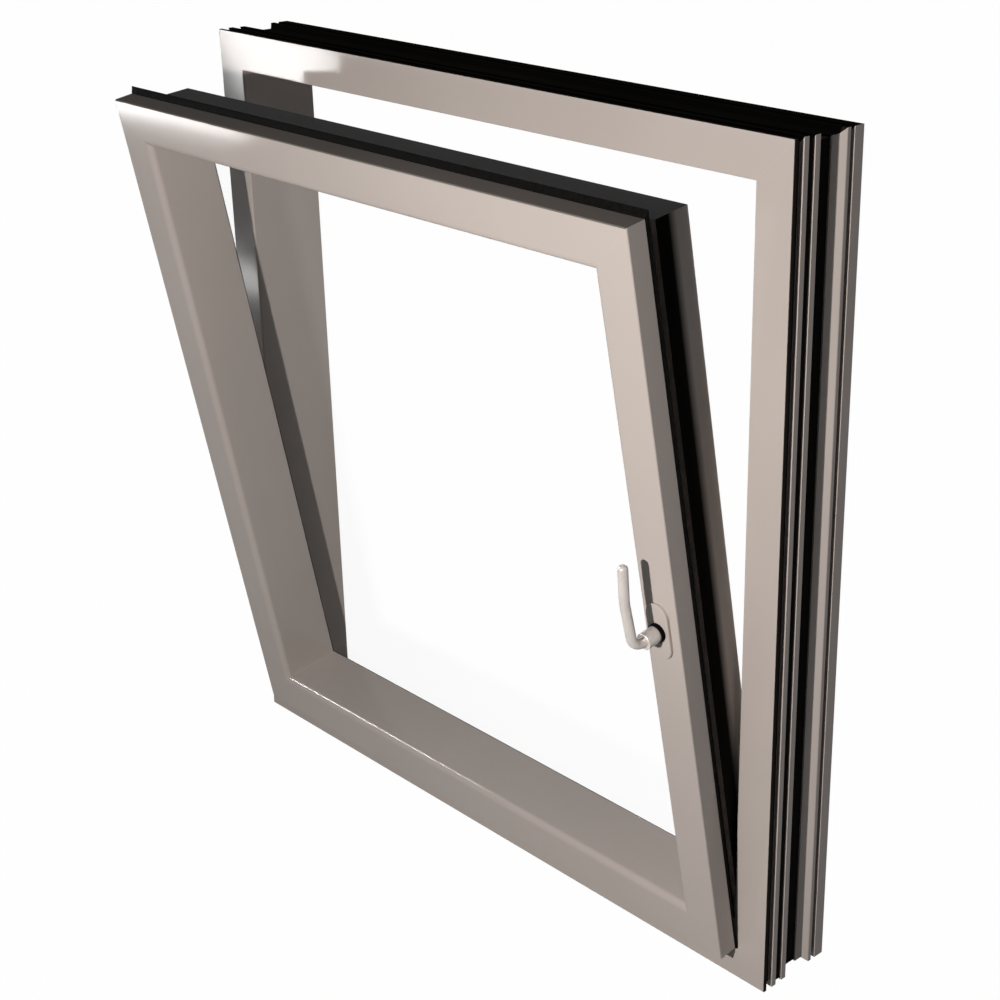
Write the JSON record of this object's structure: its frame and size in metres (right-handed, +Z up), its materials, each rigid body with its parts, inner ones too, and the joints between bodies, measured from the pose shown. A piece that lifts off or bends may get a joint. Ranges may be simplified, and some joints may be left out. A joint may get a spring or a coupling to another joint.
{
  "type": "tilt and turn window",
  "caption": "Inward opening window with a deep insulated frame, a sash tilted open at the top, clear glazing and a lever handle on the sash.",
  "frame": {"origin": "middle of the sill's mounting rib, on the underside of the frame", "axes": "+Z up, +X to the right seen from the room, +Y outdoors through the wall"},
  "size_m": [1, 0.3004, 1.022],
  "materials": {
    "coated_aluminium": "glossy warm grey coating",
    "insulating_strip": "matt black",
    "glass": "clear",
    "gasket": "matt black",
    "spacer": "dark satin",
    "hinge_steel": "satin",
    "handle_metal": "satin"
  },
  "bodies": {
    "frame": {"frame_inner_left": "coated_aluminium", "frame_inner_right": "coated_aluminium", "frame_inner_bottom": "coated_aluminium", "frame_inner_top": "coated_aluminium", "frame_break_left": "insulating_strip", "frame_break_right": "insulating_strip", "frame_break_bottom": "insulating_strip", "frame_break_top": "insulating_strip", "frame_outer_left": "coated_aluminium", "frame_outer_right": "coated_aluminium", "frame_outer_bottom": "coated_aluminium", "frame_outer_top": "coated_aluminium", "corner_bearing": "hinge_steel"},
    "hinge_link": {"corner_link": "hinge_steel"},
    "sash": {"sash_face_left": "coated_aluminium", "sash_face_right": "coated_aluminium", "sash_face_bottom": "coated_aluminium", "sash_face_top": "coated_aluminium", "sash_break_left": "insulating_strip", "sash_break_right": "insulating_strip", "sash_break_bottom": "insulating_strip", "sash_break_top": "insulating_strip", "sash_outer_left": "coated_aluminium", "sash_outer_right": "coated_aluminium", "sash_outer_bottom": "coated_aluminium", "sash_outer_top": "coated_aluminium", "glazing_bead_left": "coated_aluminium", "glazing_bead_right": "coated_aluminium", "glazing_bead_bottom": "coated_aluminium", "glazing_bead_top": "coated_aluminium", "glass_pane_room": "glass", "glass_pane_outdoor": "glass", "glass_spacer": "spacer", "glazing_gasket": "gasket", "glazing_sealant": "gasket", "handle_bushing": "gasket", "handle_plate": "coated_aluminium", "handle_collar": "handle_metal", "sash_pivot": "hinge_steel"},
    "handle": {"handle_lever": "handle_metal"}
  },
  "joints": [
    {"name": "sash_turn", "type": "hinge", "parent": "frame", "child": "hinge_link", "pos_m": [-0.4586, -0.0235, 0.058], "axis": [0, 0, -1], "range_deg": [0, 90]},
    {"name": "sash_tilt", "type": "hinge", "parent": "hinge_link", "child": "sash", "pos_m": [-0.44, -0.0216, 0.054], "axis": [1, 0, 0], "range_deg": [-10, 0]},
    {"name": "handle_turn", "type": "hinge", "parent": "sash", "child": "handle", "pos_m": [0.4285, -0.12779, 0.49729], "axis": [0, -0.9848, -0.1736], "range_deg": [0, 180]}
  ]
}
